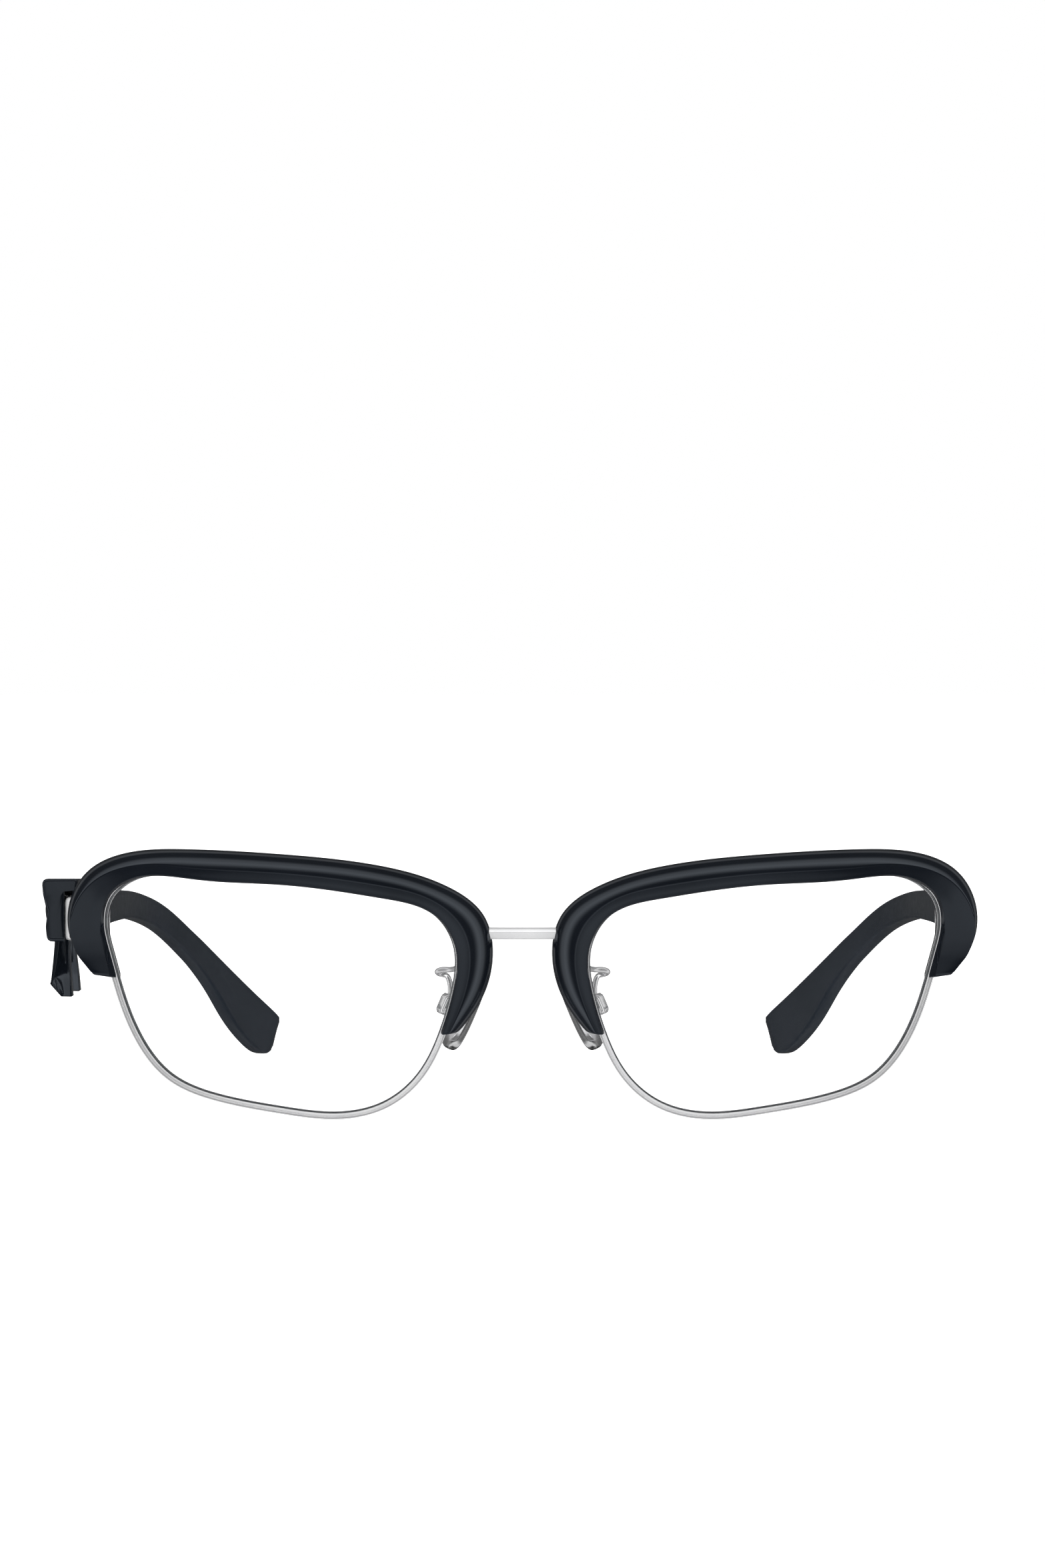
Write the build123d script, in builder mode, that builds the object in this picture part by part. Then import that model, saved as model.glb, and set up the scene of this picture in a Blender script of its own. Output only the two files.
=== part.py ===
"""Half rim eyeglasses: acetate brows over metal eyewires, folding temples, and a bow on one temple.

Millimetres. +X points to the wearer's left, +Y back along the temples, +Z up.
The origin is on the plane the glasses stand on, under the bridge, level with the lenses.
Every piece that comes in a pair is drawn for the wearer's left side (+X), and mirrored for the right.
The bow is drawn on +X too, and mirrored to the wearer's right, where it sits.
"""

import math
import os

from build123d import *

# ---- Driving dimensions: front ----
# The eyewire's middle lies on a sphere of this radius, and every lens and brow face is parallel to it.
LENS_RADIUS = 150.0
LENS_CENTRE = (30.65, 19.0)  # X and Z of the sphere's centre for the left lens
RIM_WIDTH = 1.0  # eyewire, seen from the front
RIM_HALF_DEPTH = 1.1
LENS_HALF_THICKNESS = 0.7
LENS_BITE = 0.5  # how far the lens edge enters the eyewire
CLEARANCE = 0.03  # between pieces that are fitted and never move
BROW_FRONT = 3.0  # brow's front face, ahead of the eyewire's middle
BROW_REAR = 2.3  # brow's rear face, behind the eyewire's middle
BROW_LIP = 0.2  # the brow stops this far short of the eyewire's inner edge
BROW_ROUND = 1.9  # round on the brow's outer front edge

# Edge of the lens opening, from the top, towards the temple and round. X and Z.
OPENING = [
    (38.0, 37.45),
    (52.0, 38.2),
    (61.4, 37.85),
    (65.2, 34.9),
    (66.1, 31.0),
    (65.2, 26.6),
    (63.3, 20.0),
    (60.3, 12.8),
    (55.6, 7.1),
    (48.0, 3.85),
    (38.0, 1.95),
    (28.5, 1.15),
    (22.0, 2.75),
    (16.6, 7.2),
    (12.9, 14.6),
    (11.0, 21.5),
    (10.75, 26.6),
    (13.6, 32.0),
    (22.6, 35.35),
]
OPENING_STEPS = 48  # points on an outline drawn parallel to the opening
# Outer edge of the brow, from its nasal end over the top to its temporal end. X and Z.
BROW_EDGE = [
    (10.0, 13.95),
    (6.6, 18.9),
    (4.85, 25.5),
    (6.2, 32.2),
    (12.0, 36.9),
    (22.3, 40.1),
    (38.0, 42.05),
    (54.0, 42.95),
    (63.0, 42.4),
    (69.3, 39.6),
    (72.3, 34.8),
    (72.3, 29.5),
    (70.4, 25.2),
]
BROW_TEMPORAL_END = [(68.4, 22.9), (67.0, 22.35), (64.1, 22.3)]
BROW_NASAL_END = (13.1, 13.55)

# ---- Driving dimensions: bridge ----
BRIDGE_Z = 29.4
BRIDGE_HEIGHT = 1.7
BRIDGE_DEPTH = 1.6
BRIDGE_ROUND = 0.4
BRIDGE_MIDDLE_Y = 2.0
BRIDGE_END = (11.25, 3.2)  # X and Y where the bar is brazed to the eyewire
BRIDGE_EYE_X = 8.0  # the eye that holds the brow's inner screw
BRIDGE_EYE_Y = (1.6, 3.8)
BRIDGE_EYE_RADIUS = 1.5

# ---- Driving dimensions: nose pads ----
PAD_CENTRE = (9.3, 11.3, 16.9)
PAD_FACE = (-0.814, 0.458, -0.356)  # the way the left pad faces, towards the nose
PAD_ACROSS = (0.431, 0.888, 0.158)  # across the pad's width, which is also the way its screw runs
PAD_LENGTH = 14.0
PAD_WIDTH = 7.6
PAD_THICKNESS = 2.4
PAD_ROUND = 0.9
PAD_AXIS = (0.0, 0.5, -3.1)  # the screw's middle in the pad's own frame: across, along, towards the nose
PAD_BOX_SIZE = (2.6, 3.4, 2.4)
PAD_BOX_WALL = (0.55, 0.6, 0.4)
PAD_BOX_ROUND = 0.3
PAD_STEM_SIZE = (1.3, 1.6)
PAD_STEM_BEYOND_AXIS = 0.65
PAD_SCREW_RADIUS = 0.4
PAD_SCREW_HEAD_RADIUS = 0.75
PAD_ARM_RADIUS = 0.5
PAD_ARM_ROOM = 0.3  # clear space round the arm where it passes through the brow
# Corners of the arm's wire, from the eyewire round its loop and down to the pad box, and the bend at each.
PAD_ARM_PATH = [
    (10.3, 2.35, 24.3),
    (10.3, 4.7, 24.5),
    (13.9, 6.0, 24.3),
    (13.3, 9.2, 23.2),
    (11.85, 9.4, 22.6),
    (11.52, 9.85, 18.97),
]
PAD_ARM_BENDS = [1.2, 1.2, 0.9, 0.9]

# ---- Driving dimensions: endpiece and hinge ----
HINGE_X, HINGE_Y, HINGE_Z = 67.2, 11.6, 31.0
KNUCKLE_RADIUS = 1.25
KNUCKLE_HALF_HEIGHT = 0.75  # the temple's knuckle, between the front's two
KNUCKLE_GAP = 0.06
KNUCKLE_ARM_WIDTH = 1.8  # of the two arms that carry the front's knuckles
KNUCKLE_ARM_ROOT = 0.5  # how far those arms start inside the plate
HINGE_HALF_HEIGHT = 2.2
PIN_RADIUS = 0.7
PIN_HEAD_RADIUS = 1.15
PIN_CLEARANCE = 0.04
BLOCK_X = (66.3, 68.8, 71.4)  # inner face, step, outer face of the block behind the eyewire
BLOCK_HALF_HEIGHT = 2.4
PLATE_Y = (9.1, 10.1)  # the plate at the block's rear, that carries the knuckles
PLATE_OUTER_X = 72.0
BRAZE_DEPTH = 0.2  # how far brazed pieces run into each other
RIM_SLIT = (30.7, 30.9)  # Z of the gap the closing screw pulls together
LOCK_REAR_Y = 8.9
LOCK_STEP_GAP = 0.2  # between the lock and the block's step beside it
LOCK_SCREW_RECESS = 0.1  # how far the screw's tip stays inside the lock
LOCK_SCREW = (67.5, 7.4)
LOCK_SCREW_RADIUS = 0.6
LOCK_SCREW_HEAD_RADIUS = 1.0
BROW_SCREW = (69.9, 32.2)  # X and Z of the brow's outer screw
BROW_SCREW_RADIUS = 0.5
BROW_SCREW_HEAD_RADIUS = 0.9
BROW_SCREW_TIPS = (0.6, 4.0)  # Y of the inner and the outer screw's tip
SCREW_HEAD_HEIGHT = 0.6
SCREW_SLOT = 0.25

# ---- Driving dimensions: temple ----
# Middle of the temple body, from the hinge over the ear to the tip.
TEMPLE_PATH = [
    (70.4, 10.2, 31.0),
    (69.9, 35.0, 31.6),
    (68.8, 65.0, 30.9),
    (66.9, 90.0, 29.2),
    (63.9, 102.0, 26.6),
    (59.9, 113.0, 21.7),
    (55.6, 123.0, 16.2),
    (50.9, 133.0, 10.4),
    (45.3, 144.0, 3.9),
]
# Share of the path, height and thickness of each cross-section.
TEMPLE_SECTIONS = [
    (0.0, 5.2, 3.6),
    (0.25, 5.0, 3.4),
    (0.5, 4.6, 3.2),
    (0.66, 4.5, 2.9),
    (0.77, 4.9, 2.8),
    (0.83, 6.1, 2.8),
    (0.88, 7.8, 2.8),
    (0.94, 8.8, 2.8),
    (0.985, 8.0, 2.6),
    (1.0, 6.0, 1.6),
]
TEMPLE_TOP = 2.4  # the top edge stays this far above the path where the temple widens
TEMPLE_ROUND = 0.8  # round on the four long edges
LEAF_X = (68.55, 69.5)
LEAF_Y = (11.3, 22.0)
LEAF_HALF_HEIGHT = 1.6
LEAF_ARM_LENGTH = 1.5  # of the arm from the leaf to its knuckle
LEAF_ARM_ROOT = 0.3  # how far that arm starts inside the leaf
RIVET_Y = (15.5, 19.5)
RIVET_RADIUS = 0.6
RIVET_END_X = 71.2

# ---- Driving dimensions: bow ----
CLIP_Y = (10.6, 25.0)
CLIP_X = (67.3, 74.3)
CLIP_Z = (27.4, 35.0)
CLIP_SPACE_X = (68.0, 72.35)
CLIP_SPACE_Z = (28.2, 34.2)
CLIP_ROUND = 0.5
CLIP_HINGE_RELIEF = (68.6, 13.4)  # X and Y of the corner cut away round the hinge
BOW_Z = 32.2
BOW_X = (71.4, 77.8)
BOW_ROUND = 0.8
KNOT_Y = (18.45, 23.55)
KNOT_X = (74.4, 78.4)
KNOT_HALF_HEIGHT = 2.8
LOOP_LENGTH = 8.0
LOOP_HALF_HEIGHTS = (2.3, 4.0, 5.0)  # at the knot, halfway, and at the far end
LOOP_NECK = 0.7  # share of the loop's width that is left at the knot
TAIL_X = (73.1, 76.6)
# Edge of the front tail, Y and Z, from the knot down to its slanted end and back.
FRONT_TAIL = [(18.6, 29.3), (11.6, 18.9), (15.2, 17.2), (21.0, 29.3)]
REAR_TAIL = [(21.1, 29.3), (26.4, 18.4), (30.2, 18.9), (23.4, 29.3)]
BOW_SCREW_Z = (30.7, 33.7)
BOW_SCREW_RADIUS = 0.6
BOW_SCREW_HEAD_RADIUS = 1.0
BOW_SCREW_HOLE_END = 1.5  # knot left solid beyond the screw holes
BOW_SCREW_TIP_GAP = 0.1  # between a screw's tip and the end of its hole

SPHERE_PLACE = (LENS_CENTRE[0], LENS_RADIUS, LENS_CENTRE[1])
FAR = 30.0  # beyond the front on either side, for cuts that go right through
PAD_PLANE = Plane(origin=PAD_CENTRE, x_dir=PAD_ACROSS, z_dir=PAD_FACE)
MIDDLE_TO_START = (Align.CENTER, Align.CENTER, Align.MIN)


# ---- Helpers ----
def save(part, label):
    """Writes one finished piece as its own node."""
    part.label = label
    export_step(part, f"parts/{label}.step")


def save_pair(part, name):
    """Writes a piece drawn for the left side, and its mirror image for the right."""
    save(part, f"{name}_left")
    save(part.mirror(Plane.YZ), f"{name}_right")


def box_between(x_range, y_range, z_range, mode=Mode.ADD):
    """A box from its lowest to its highest X, Y and Z."""
    ranges = (x_range, y_range, z_range)
    size = [high - low for low, high in ranges]
    middle = tuple((low + high) / 2 for low, high in ranges)
    with Locations(middle):
        Box(*size, mode=mode)


def rod(start, end, radius, mode=Mode.ADD):
    """A round bar from one point to another."""
    axis = Vector(*end) - Vector(*start)
    with Locations(Plane(origin=start, z_dir=axis)):
        Cylinder(radius, axis.length, align=MIDDLE_TO_START, mode=mode)


def screw(tip, shoulder, radius, head_radius):
    """A slotted screw: its shank runs from the tip to the shoulder, and its head stands beyond."""
    axis = (Vector(*shoulder) - Vector(*tip)).normalized()
    head_top = Vector(*shoulder) + axis * SCREW_HEAD_HEIGHT
    rod(tip, shoulder, radius)
    rod(shoulder, head_top, head_radius)
    with Locations(Plane(origin=head_top, z_dir=axis)):
        Box(2 * head_radius, SCREW_SLOT, SCREW_HEAD_HEIGHT, mode=Mode.SUBTRACT)


def hole_along_x(y, z, start_x, end_x, radius):
    """A hole fitted to something of that radius."""
    rod((start_x, y, z), (end_x, y, z), radius + CLEARANCE, Mode.SUBTRACT)


def hole_along_y(x, z, front_y, radius):
    """A hole open to the rear, fitted to something of that radius."""
    rod((x, front_y, z), (x, FAR, z), radius + CLEARANCE, Mode.SUBTRACT)


def hole_along_z(x, y, bottom_z, radius):
    """A hole open to the top, fitted to something of that radius."""
    rod((x, y, bottom_z), (x, y, 2 * FAR), radius + CLEARANCE, Mode.SUBTRACT)


def opening_face(grow=0.0):
    """The lens opening as a flat face, grown outwards by that much."""
    edge = Spline(*OPENING, periodic=True)
    points = []
    for step in range(OPENING_STEPS):
        share = step / OPENING_STEPS
        along = edge.tangent_at(share)
        points.append(edge.position_at(share) + Vector(-along.Y, along.X) * grow)
    with BuildSketch(Plane.XZ) as sketch:
        with BuildLine():
            Spline(*points, periodic=True)
        make_face()
    return sketch.sketch


def push_through(face, mode=Mode.ADD):
    """The flat face drawn out along Y, well past the front on both sides."""
    extrude(face.moved(Location((0, -FAR, 0))), amount=2 * FAR, dir=(0, 1, 0), mode=mode)


def behind_eyewire(depth):
    """Keeps only what lies behind the sphere that is this far behind the eyewire's middle."""
    with Locations(SPHERE_PLACE):
        Sphere(LENS_RADIUS - depth, mode=Mode.INTERSECT)


def curved_slab(face, ahead, behind):
    """The face pushed through along Y and kept between two concentric spheres."""
    with BuildPart() as slab:
        push_through(face)
        behind_eyewire(-ahead)
        with Locations(SPHERE_PLACE):
            Sphere(LENS_RADIUS - behind, mode=Mode.SUBTRACT)
    return slab.part


# ---- Front ----
def make_rim():
    groove_half = LENS_HALF_THICKNESS + CLEARANCE
    with BuildPart() as rim:
        add(curved_slab(opening_face(RIM_WIDTH), RIM_HALF_DEPTH, RIM_HALF_DEPTH))
        push_through(opening_face(), mode=Mode.SUBTRACT)
        add(curved_slab(opening_face(LENS_BITE + CLEARANCE), groove_half, groove_half), mode=Mode.SUBTRACT)
        box_between((HINGE_X - 3, HINGE_X + 1), (0, FAR), RIM_SLIT, mode=Mode.SUBTRACT)
    return rim.part


def make_lens():
    return curved_slab(opening_face(LENS_BITE), LENS_HALF_THICKNESS, LENS_HALF_THICKNESS)


def brow_face():
    """The brow seen from the front, before the lens opening is taken out."""
    with BuildSketch(Plane.XZ) as sketch:
        with BuildLine():
            edge = Spline(*BROW_EDGE)
            Polyline(edge @ 1, *BROW_TEMPORAL_END, BROW_NASAL_END, edge @ 0)
        make_face()
    return sketch.sketch


def endpiece_space():
    """The room the brow leaves for the endpiece and the rim lock behind it."""
    with BuildPart() as space:
        box_between(
            (BLOCK_X[0] - CLEARANCE, BLOCK_X[2] + CLEARANCE),
            (0, FAR),
            (HINGE_Z - BLOCK_HALF_HEIGHT - CLEARANCE, HINGE_Z + BLOCK_HALF_HEIGHT + CLEARANCE),
        )
        behind_eyewire(RIM_HALF_DEPTH - BRAZE_DEPTH - CLEARANCE)
    return space.part


def make_brow():
    groove_half = RIM_HALF_DEPTH + CLEARANCE
    bridge_half = BRIDGE_HEIGHT / 2 + CLEARANCE
    screw_x, screw_z = BROW_SCREW
    arm_x, arm_y, arm_z = PAD_ARM_PATH[0]
    with BuildPart() as brow:
        add(curved_slab(brow_face(), BROW_FRONT, BROW_REAR))
        front_edges = brow.edges().filter_by(lambda edge: edge.center().Y < 0)
        fillet(front_edges.sort_by(SortBy.LENGTH)[-1], radius=BROW_ROUND)
        add(endpiece_space(), mode=Mode.SUBTRACT)
        push_through(opening_face(BROW_LIP), mode=Mode.SUBTRACT)
        add(curved_slab(opening_face(RIM_WIDTH + CLEARANCE), groove_half, groove_half), mode=Mode.SUBTRACT)
        bridge_front = BRIDGE_MIDDLE_Y - BRIDGE_DEPTH / 2
        box_between(
            (0, BRIDGE_END[0] + 2 * CLEARANCE),
            (bridge_front, FAR),
            (BRIDGE_Z - bridge_half, BRIDGE_Z + bridge_half),
            mode=Mode.SUBTRACT,
        )
        hole_along_y(BRIDGE_EYE_X, BRIDGE_Z, BRIDGE_EYE_Y[0] - CLEARANCE, BRIDGE_EYE_RADIUS)
        hole_along_y(BRIDGE_EYE_X, BRIDGE_Z, BROW_SCREW_TIPS[0] - CLEARANCE, BROW_SCREW_RADIUS)
        hole_along_y(screw_x, screw_z, BROW_SCREW_TIPS[1] - CLEARANCE, BROW_SCREW_RADIUS)
        hole_along_y(arm_x, arm_z, arm_y - CLEARANCE, PAD_ARM_RADIUS + PAD_ARM_ROOM)
    return brow.part


def make_brow_screws():
    screw_x, screw_z = BROW_SCREW
    tips = ((BRIDGE_EYE_X, BROW_SCREW_TIPS[0], BRIDGE_Z), (screw_x, BROW_SCREW_TIPS[1], screw_z))
    shoulders = (BRIDGE_EYE_Y[1], PLATE_Y[1] - SCREW_HEAD_HEIGHT - CLEARANCE)
    with BuildPart() as screws:
        for (x, y, z), shoulder_y in zip(tips, shoulders):
            screw((x, y, z), (x, shoulder_y, z), BROW_SCREW_RADIUS, BROW_SCREW_HEAD_RADIUS)
    return screws.part


def make_bridge():
    end_x, end_y = BRIDGE_END
    with BuildPart() as bridge:
        with BuildSketch(Plane.XY.offset(BRIDGE_Z - BRIDGE_HEIGHT / 2)):
            with BuildLine():
                ThreePointArc((-end_x, end_y), (0, BRIDGE_MIDDLE_Y), (end_x, end_y))
            trace(line_width=BRIDGE_DEPTH)
        extrude(amount=BRIDGE_HEIGHT)
        fillet(bridge.edges().filter_by(lambda edge: edge.length > end_x), radius=BRIDGE_ROUND)
        for eye_x in (-BRIDGE_EYE_X, BRIDGE_EYE_X):
            front_y, rear_y = BRIDGE_EYE_Y
            rod((eye_x, front_y, BRIDGE_Z), (eye_x, rear_y, BRIDGE_Z), BRIDGE_EYE_RADIUS)
            hole_along_y(eye_x, BRIDGE_Z, 0, BROW_SCREW_RADIUS)
    return bridge.part


# ---- Nose pads ----
def make_pad_arm():
    with BuildPart() as arm:
        with BuildLine() as wire:
            FilletPolyline(*PAD_ARM_PATH, radius=PAD_ARM_BENDS)
        with BuildSketch(Plane(origin=PAD_ARM_PATH[0], z_dir=wire.line % 0)):
            Circle(PAD_ARM_RADIUS)
        sweep()
    return arm.part


def make_pad_box():
    cup = [outside - 2 * wall for outside, wall in zip(PAD_BOX_SIZE, PAD_BOX_WALL)]
    with BuildPart(PAD_PLANE) as box:
        with Locations(PAD_AXIS):
            Box(*PAD_BOX_SIZE)
        fillet(box.edges(), radius=PAD_BOX_ROUND)
        with Locations((PAD_AXIS[0], PAD_AXIS[1], PAD_AXIS[2] - cup[2] / 2)):
            Box(cup[0], cup[1], PAD_BOX_SIZE[2] + cup[2], align=MIDDLE_TO_START, mode=Mode.SUBTRACT)
        with Locations(Location(PAD_AXIS, (0, 90, 0))):
            Cylinder(PAD_SCREW_RADIUS + CLEARANCE, 2 * PAD_BOX_SIZE[0], mode=Mode.SUBTRACT)
    return box.part


def make_pad_screw():
    half = PAD_BOX_SIZE[0] / 2
    tip = PAD_PLANE.from_local_coords((half, PAD_AXIS[1], PAD_AXIS[2]))
    shoulder = PAD_PLANE.from_local_coords((-half, PAD_AXIS[1], PAD_AXIS[2]))
    with BuildPart() as pad_screw:
        screw(tip, shoulder, PAD_SCREW_RADIUS, PAD_SCREW_HEAD_RADIUS)
    return pad_screw.part


def make_nose_pad():
    stem_length = -PAD_AXIS[2] + PAD_STEM_BEYOND_AXIS
    with BuildPart(PAD_PLANE) as pad:
        with BuildSketch(PAD_PLANE.offset(-PAD_THICKNESS / 2)):
            Ellipse(PAD_WIDTH / 2, PAD_LENGTH / 2)
        extrude(amount=PAD_THICKNESS)
        fillet(pad.edges(), radius=PAD_ROUND)
        with Locations((PAD_AXIS[0], PAD_AXIS[1], -stem_length)):
            Box(*PAD_STEM_SIZE, stem_length, align=MIDDLE_TO_START)
        with Locations(Location(PAD_AXIS, (0, 90, 0))):
            Cylinder(PAD_SCREW_RADIUS + PIN_CLEARANCE, PAD_WIDTH, mode=Mode.SUBTRACT)
    return pad.part


# ---- Endpiece and hinge ----
def make_endpiece():
    inner_x, step_x, outer_x = BLOCK_X
    bottom, top = HINGE_Z - BLOCK_HALF_HEIGHT, HINGE_Z + BLOCK_HALF_HEIGHT
    screw_x, screw_z = BROW_SCREW
    lock_x, lock_y = LOCK_SCREW
    with BuildPart() as endpiece:
        box_between((step_x, outer_x), (0, PLATE_Y[1]), (bottom, top))
        box_between((inner_x, step_x), (0, PLATE_Y[1]), (RIM_SLIT[1], top))
        behind_eyewire(RIM_HALF_DEPTH - BRAZE_DEPTH)
        box_between((inner_x, PLATE_OUTER_X), PLATE_Y, (bottom, top))
        for side in (-1, 1):
            near = HINGE_Z + side * (KNUCKLE_HALF_HEIGHT + KNUCKLE_GAP)
            far = HINGE_Z + side * HINGE_HALF_HEIGHT
            box_between(
                (inner_x, inner_x + KNUCKLE_ARM_WIDTH),
                (PLATE_Y[1] - KNUCKLE_ARM_ROOT, HINGE_Y),
                (min(near, far), max(near, far)),
            )
            rod((HINGE_X, HINGE_Y, near), (HINGE_X, HINGE_Y, far), KNUCKLE_RADIUS)
        hole_along_z(HINGE_X, HINGE_Y, 0, PIN_RADIUS)
        hole_along_z(lock_x, lock_y, 0, LOCK_SCREW_RADIUS)
        hole_along_z(lock_x, lock_y, top - SCREW_HEAD_HEIGHT - CLEARANCE, LOCK_SCREW_HEAD_RADIUS)
        hole_along_y(screw_x, screw_z, 0, BROW_SCREW_RADIUS)
        hole_along_y(screw_x, screw_z, PLATE_Y[1] - SCREW_HEAD_HEIGHT - CLEARANCE, BROW_SCREW_HEAD_RADIUS)
    return endpiece.part


def make_rim_lock():
    lock_x, lock_y = LOCK_SCREW
    with BuildPart() as lock:
        box_between(
            (BLOCK_X[0], BLOCK_X[1] - LOCK_STEP_GAP),
            (0, LOCK_REAR_Y),
            (HINGE_Z - BLOCK_HALF_HEIGHT, RIM_SLIT[0]),
        )
        behind_eyewire(RIM_HALF_DEPTH - BRAZE_DEPTH)
        hole_along_z(lock_x, lock_y, 0, LOCK_SCREW_RADIUS)
    return lock.part


def make_rim_lock_screw():
    lock_x, lock_y = LOCK_SCREW
    shoulder_z = HINGE_Z + BLOCK_HALF_HEIGHT - SCREW_HEAD_HEIGHT - CLEARANCE
    with BuildPart() as lock_screw:
        screw(
            (lock_x, lock_y, HINGE_Z - BLOCK_HALF_HEIGHT + LOCK_SCREW_RECESS),
            (lock_x, lock_y, shoulder_z),
            LOCK_SCREW_RADIUS,
            LOCK_SCREW_HEAD_RADIUS,
        )
    return lock_screw.part


def make_hinge_screw():
    with BuildPart() as hinge_screw:
        screw(
            (HINGE_X, HINGE_Y, HINGE_Z - HINGE_HALF_HEIGHT),
            (HINGE_X, HINGE_Y, HINGE_Z + HINGE_HALF_HEIGHT),
            PIN_RADIUS,
            PIN_HEAD_RADIUS,
        )
    return hinge_screw.part


def make_temple_hinge():
    bottom, top = HINGE_Z - KNUCKLE_HALF_HEIGHT, HINGE_Z + KNUCKLE_HALF_HEIGHT
    with BuildPart() as leaf:
        box_between(LEAF_X, LEAF_Y, (HINGE_Z - LEAF_HALF_HEIGHT, HINGE_Z + LEAF_HALF_HEIGHT))
        for y in RIVET_Y:
            hole_along_x(y, HINGE_Z, 0, RIVET_END_X, RIVET_RADIUS)
        box_between(
            (HINGE_X, LEAF_X[0] + LEAF_ARM_ROOT),
            (LEAF_Y[0], LEAF_Y[0] + LEAF_ARM_LENGTH),
            (bottom, top),
        )
        rod((HINGE_X, HINGE_Y, bottom), (HINGE_X, HINGE_Y, top), KNUCKLE_RADIUS)
        rod((HINGE_X, HINGE_Y, bottom), (HINGE_X, HINGE_Y, top), PIN_RADIUS + PIN_CLEARANCE, Mode.SUBTRACT)
    return leaf.part


def make_temple_rivets():
    with BuildPart() as rivets:
        for y in RIVET_Y:
            rod((LEAF_X[0], y, HINGE_Z), (RIVET_END_X, y, HINGE_Z), RIVET_RADIUS)
    return rivets.part


# ---- Temple ----
def strip_face(middle_points, sections):
    """A flat strip drawn along its middle line, from the share, width and sideways shift of each section."""
    spine = Spline(*middle_points)
    edges = ([], [])
    for share, width, shift in sections:
        along = spine.tangent_at(share)
        sideways = Vector(-along.Y, along.X)
        for edge, half in zip(edges, (width / 2, -width / 2)):
            edge.append(spine.position_at(share) + sideways * (shift + half))
    with BuildSketch() as sketch:
        with BuildLine():
            first, second = Spline(*edges[0]), Spline(*edges[1])
            Line(first @ 0, second @ 0)
            Line(first @ 1, second @ 1)
        make_face()
    return sketch.sketch


def make_temple():
    from_side = strip_face(
        [(y, z) for _, y, z in TEMPLE_PATH],
        [(share, height, min(TEMPLE_TOP - height / 2, 0)) for share, height, _ in TEMPLE_SECTIONS],
    )
    from_above = strip_face(
        [(y, x) for x, y, _ in TEMPLE_PATH],
        [(share, thickness, 0) for share, _, thickness in TEMPLE_SECTIONS],
    )
    seen_from_below = Plane(origin=(0, 0, 0), x_dir=(0, 1, 0), z_dir=(0, 0, -1))
    with BuildPart() as temple:
        extrude(Plane.YZ * from_side, amount=2 * HINGE_X)
        extrude(seen_from_below * from_above, amount=2 * FAR, both=True, mode=Mode.INTERSECT)
        fillet(temple.edges().filter_by(lambda edge: edge.length > FAR), radius=TEMPLE_ROUND)
        leaf_half = LEAF_HALF_HEIGHT + CLEARANCE
        box_between(
            (0, LEAF_X[1] + CLEARANCE),
            (0, LEAF_Y[1] + CLEARANCE),
            (HINGE_Z - leaf_half, HINGE_Z + leaf_half),
            mode=Mode.SUBTRACT,
        )
        for y in RIVET_Y:
            hole_along_x(y, HINGE_Z, 0, RIVET_END_X + CLEARANCE, RIVET_RADIUS)
    return temple.part


# ---- Bow, drawn on the left and mirrored ----
def clear_of_clip():
    """Takes away the room the clip and the temple need."""
    box_between(
        (0, CLIP_X[1] + CLEARANCE),
        (0, 2 * CLIP_Y[1]),
        (CLIP_Z[0] - CLEARANCE, CLIP_Z[1] + CLEARANCE),
        mode=Mode.SUBTRACT,
    )


def make_bow_clip():
    relief_x, relief_y = CLIP_HINGE_RELIEF
    with BuildPart() as clip:
        box_between(CLIP_X, CLIP_Y, CLIP_Z)
        fillet(clip.edges().filter_by(Axis.Y), radius=CLIP_ROUND)
        box_between(CLIP_SPACE_X, (0, FAR), CLIP_SPACE_Z, mode=Mode.SUBTRACT)
        box_between((0, relief_x), (0, relief_y), CLIP_Z, mode=Mode.SUBTRACT)
        knot_middle = sum(KNOT_Y) / 2
        head_start = CLIP_SPACE_X[1]
        head_end = head_start + SCREW_HEAD_HEIGHT + 2 * CLEARANCE
        for z in BOW_SCREW_Z:
            hole_along_x(knot_middle, z, 0, FAR + CLIP_X[1], BOW_SCREW_RADIUS)
            hole_along_x(knot_middle, z, head_start, head_end, BOW_SCREW_HEAD_RADIUS)
    return clip.part


def make_bow_loop(knot_face_y, direction):
    """One loop, which opens out from the knot towards its far end."""
    middle_x = sum(BOW_X) / 2
    width = BOW_X[1] - BOW_X[0]
    with BuildPart() as loop:
        for share, half_height in zip((0, 0.5, 1), LOOP_HALF_HEIGHTS):
            y = knot_face_y + direction * (CLEARANCE + share * LOOP_LENGTH)
            with BuildSketch(Plane(origin=(middle_x, y, BOW_Z), x_dir=(1, 0, 0), z_dir=(0, 1, 0))):
                share_of_width = LOOP_NECK + (1 - LOOP_NECK) * share
                RectangleRounded(width * share_of_width, 2 * half_height, BOW_ROUND)
        loft()
        fillet(loop.faces().sort_by(Axis.Y)[-1 if direction > 0 else 0].edges(), radius=BOW_ROUND / 2)
        clear_of_clip()
    return loop.part


def make_bow_knot():
    knot_z = (BOW_Z - KNOT_HALF_HEIGHT, BOW_Z + KNOT_HALF_HEIGHT)
    knot_middle = sum(KNOT_Y) / 2
    with BuildPart() as knot:
        box_between(KNOT_X, KNOT_Y, knot_z)
        fillet(knot.edges(), radius=BOW_ROUND)
        for z in BOW_SCREW_Z:
            hole_end = KNOT_X[1] - BOW_SCREW_HOLE_END
            hole_along_x(knot_middle, z, 0, hole_end, BOW_SCREW_RADIUS)
    return knot.part


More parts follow.
